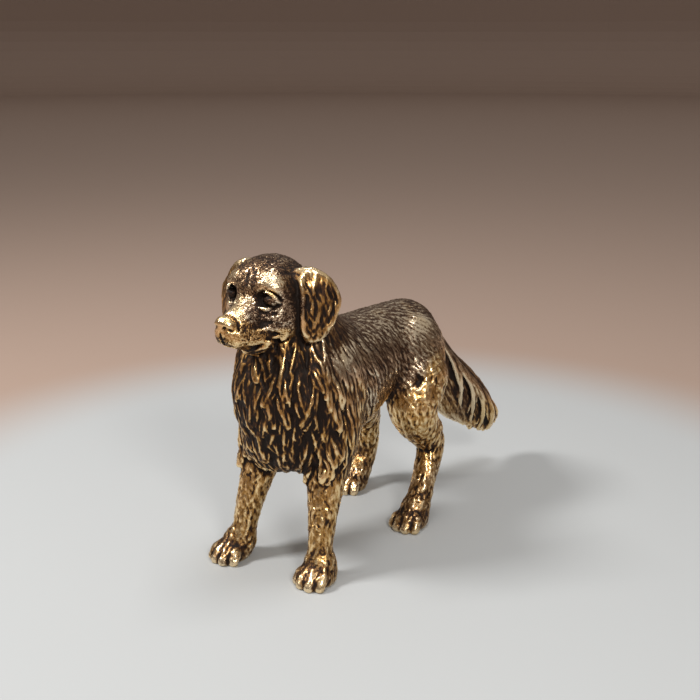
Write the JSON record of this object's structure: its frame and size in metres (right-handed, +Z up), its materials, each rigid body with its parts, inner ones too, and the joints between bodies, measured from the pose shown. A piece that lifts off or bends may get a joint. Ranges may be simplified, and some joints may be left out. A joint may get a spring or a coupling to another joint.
{
  "type": "brass dog figurine",
  "caption": "Small solid brass figurine of a standing long-coated retriever with hanging ears and a plumed tail.",
  "frame": {"origin": "centre of the bounding box at the soles, on the surface the dog stands on", "axes": "+Z up, -Y the way the dog looks, +X its left side; the length runs along Y"},
  "size_m": [0.0224, 0.0666, 0.0472],
  "materials": {
    "brass": "antique: dark in the hollows and rubbed bright on the ridges"
  },
  "bodies": {
    "root": {"dog_figurine": "brass"}
  },
  "joints": []
}
